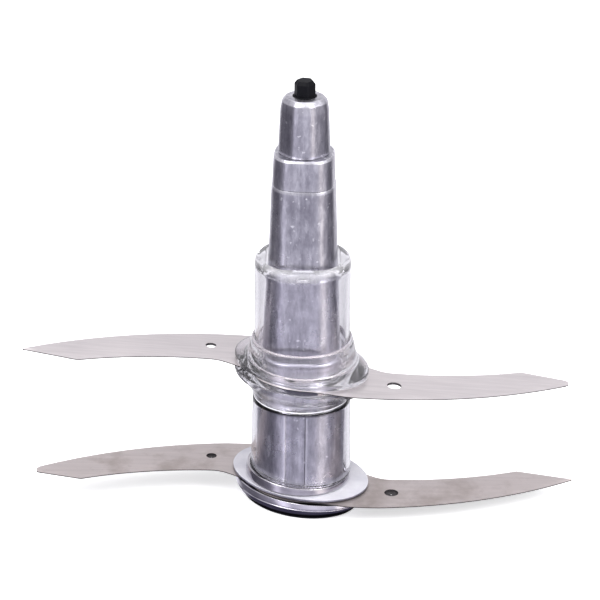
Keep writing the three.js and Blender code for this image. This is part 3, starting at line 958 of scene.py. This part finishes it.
def flange():
    """Pale oval plate on top of the lower blade."""
    bottom = LOWER_BLADE_Z + BLADE_THICK / 2 + GAP
    bore = 7.8
    rim = 13
    corners = [(bore, bottom, 0), (rim, bottom, 0.12), (rim, FLANGE_TOP, 0.15),
               (11.6, FLANGE_TOP, 0), (bore, FLANGE_TOP, 0)]
    move = chained(ovalled(10, rim, steady(FLANGE_OVAL)), leaned(LOWER_TILT, 0, -1))
    plate = turned("lower_flange_detail", corners, move, closed=True, step=1)
    placed(plate, FROSTED, "rotor", "clear_plastic", "lower_flange")


def base_ring():
    """Stepped ring at the barrel's foot, tilted like a wedge and set a little off the axis."""
    bottom = FLANGE_TOP + GAP
    bore = CORE_R + FIT
    top_r = SEAT_R - 0.3

    def wedge(points):
        out = points.copy()
        radius = np.hypot(points[:, 0], points[:, 1])
        outward = np.clip((radius - bore) / (top_r - bore), 0, 1)
        out[:, :2] += SEAT_SHIFT * outward[:, None]
        share = np.clip((points[:, 2] - bottom) / (SEAT_TOP - bottom), 0, 1)
        out[:, 2] -= (LOWER_TILT + (SEAT_TILT - LOWER_TILT) * share) * out[:, 0]
        return out
    corners = [(bore, bottom, 0), (SEAT_R, bottom, 0.15), (SEAT_R - 0.15, bottom + 0.9, 0.3),
               (top_r, SEAT_TOP, 0.25), (bore, SEAT_TOP, 0)]
    ring = turned("base_ring_detail", corners, wedge, closed=True, step=1)
    placed(ring, SHADED_POLISHED, "rotor", "polished_metal", "base_ring")


def barrel():
    """Clear wall round the lower part of the hub, and the seam ring on top of it."""
    bottom = SEAT_TOP + GAP
    bore = 10.45
    corners = [(10.8, bottom, 0), (11.75, bottom, 0.2), (11.4, BARREL_TOP, 0.2),
               (bore, BARREL_TOP, 0)]
    tube = turned("hub_barrel_detail", corners, leaned(SEAT_TILT, bottom, BARREL_TOP),
                  closed=True, step=1.5)
    placed(tube, SHELL, "rotor", "clear_plastic", "hub_barrel")
    seal_r = 11.3
    seal = turned("seam_seal_detail", [(bore, SEAL_BOTTOM, 0), (seal_r, SEAL_BOTTOM, 0.12),
                                       (seal_r, SEAL_TOP, 0.12), (bore, SEAL_TOP, 0)], closed=True)
    placed(seal, SEAL, "rotor", "seal", "seam_seal")


def bearing():
    """Bush and thrust pad inside the foot, and the two screws beside them."""
    flange_r = 5.9
    flange_foot = 0.35
    flange_top = 1.2
    bush = turned("bearing_bush_detail", [(BUSH_BORE, flange_foot, 0.3),
                                          (flange_r, flange_foot, 0.2),
                                          (flange_r, flange_top, 0.1), (BUSH_R, flange_top, 0),
                                          (BUSH_R, BUSH_TOP, 0.1), (BUSH_BORE, BUSH_TOP, 0)],
                  closed=True)
    placed(bush, WHITE, "rotor", "white_nylon", "bearing_bush")
    pad_r = 4.6
    pad_foot = BUSH_TOP + 0.1
    pad = turned("thrust_pad_detail", [(0, pad_foot, 0), (3.2, pad_foot, 0.2),
                                       (pad_r, BUSH_TOP + 0.9, 0.2), (pad_r, PAD_TOP, 0.2),
                                       (0, PAD_TOP, 0)])
    placed(pad, WHITE, "rotor", "white_nylon", "thrust_pad")
    screw_r = 0.95
    screw_head_r = 1.5
    screw_head_top = 1.8
    for side in ("left", "right"):
        node = f"clamp_screw_{side}"
        x = (low(node).x + high(node).x) / 2
        foot_z = low(node).z
        top = high(node).z
        corners = [(0, foot_z, 0), (screw_head_r, foot_z, 0.15),
                   (screw_head_r, screw_head_top, 0.1), (screw_r, screw_head_top, 0),
                   (screw_r, top, 0.1), (0, top, 0)]
        screw = turned(node + "_detail", corners, shifted(x, 0), sides=48)
        placed(screw, SCREW_STEEL, "rotor", "screw_steel", node)


# ---- Upper tier ---------------------------------------------------------------------------

def sleeve():
    """Clear tube over the spindle, whose rim turns in to a rounded square mouth."""
    top = SLEEVE_TOP
    bore = 10.15
    mouth = 8.35
    mouth_corner = 0.58
    blend_r = 9.6

    def mouthed(points):
        out = points.copy()
        radius = np.hypot(points[:, 0], points[:, 1])
        angle = np.arctan2(points[:, 1], points[:, 0])
        share = np.clip((blend_r - radius) / (blend_r - mouth), 0, 1) * (points[:, 2] > top - 4)
        stretch = 1 + (square_radius(angle, mouth_corner) - 1) * share
        out[:, :2] *= stretch[:, None]
        return out
    corners = [(bore, SLEEVE_BOTTOM, 0), (SLEEVE_R, SLEEVE_BOTTOM, 0), (SLEEVE_R, top, 1.7),
               (mouth, top, 0.35), (mouth, top - 1.7, 0.35), (bore, top - 2.6, 0.8)]
    tube = turned("upper_sleeve_detail", corners, mouthed, closed=True, step=1)
    placed(tube, SLEEVE, "upper_tier", "clear_plastic", "upper_sleeve")


def collar():
    """Clear oval rim over the upper blade, and the stepped neck that holds the sleeve."""
    foot_z = UPPER_BLADE_Z + BLADE_THICK / 2 + GAP
    floor_z = foot_z + 1.0
    rim = 14
    mouth = 10.4
    seat = SLEEVE_R + FIT
    neck_foot = 36.7
    lower_step = 37.6
    upper_step = 38.6
    neck_top = 39.8
    corners = [(mouth, foot_z, 0), (rim, foot_z, 0.3), (rim, foot_z + 1.35, 0.45),
               (13, neck_foot, 0.5), (12.7, lower_step, 0.3), (12.35, upper_step, 0.3),
               (12.15, neck_top, 0.6),
               (11.6, COLLAR_TOP, 0.15), (seat, COLLAR_TOP, 0), (seat, floor_z, 0),
               (mouth, floor_z, 0)]
    move = chained(ovalled(12.75, rim, steady(COLLAR_OVAL)),
                   leaned(UPPER_TILT, foot_z + 1.4, 39))
    body = turned("upper_collar_detail", corners, move, closed=True, step=0.8)
    placed(body, CLEAR, "upper_tier", "clear_plastic", "upper_collar")


def cone():
    """Clear oval rim under the upper blade, narrowing to the barrel."""
    top = UPPER_BLADE_Z - BLADE_THICK / 2 - GAP
    rim = 14.6
    throat_z = 28.9
    flare_z = 30.9
    rim_foot = 31.9
    bore = CORE_R + 2 * FIT
    corners = [(bore, CONE_BOTTOM, 0), (11.4, CONE_BOTTOM, 0.15), (11.8, throat_z, 1.5),
               (13.5, flare_z, 1.2), (rim, rim_foot, 0.4), (rim, top, 0.3), (bore, top, 0)]
    ovals = blended((rim, rim, CONE_OVAL[2]), CONE_OVAL, 28, 32.1)
    move = chained(ovalled(11.1, rim, ovals), leaned(UPPER_TILT, 31.5, CONE_BOTTOM))
    body = turned("cone_collar_detail", corners, move, closed=True, step=0.8)
    placed(body, CLEAR, "upper_tier", "clear_plastic", "cone_collar")


# ---- Scene --------------------------------------------------------------------------------

camera()
floor()
world()
light("key", (-0.5, -0.5, 0.8), 0.5, 4)
light("fill", (0.6, -0.4, 0.6), 0.5, 3.6)
light("top", (0.0, 0.0, 1.2), 1.6, 6)
bpy.context.scene.view_settings.view_transform = "Standard"

for build in (drive_pin, drive_head, neck_collar, spindle, hub_core, blades, foot, flange,
              base_ring, barrel, bearing, sleeve, collar, cone):
    build()
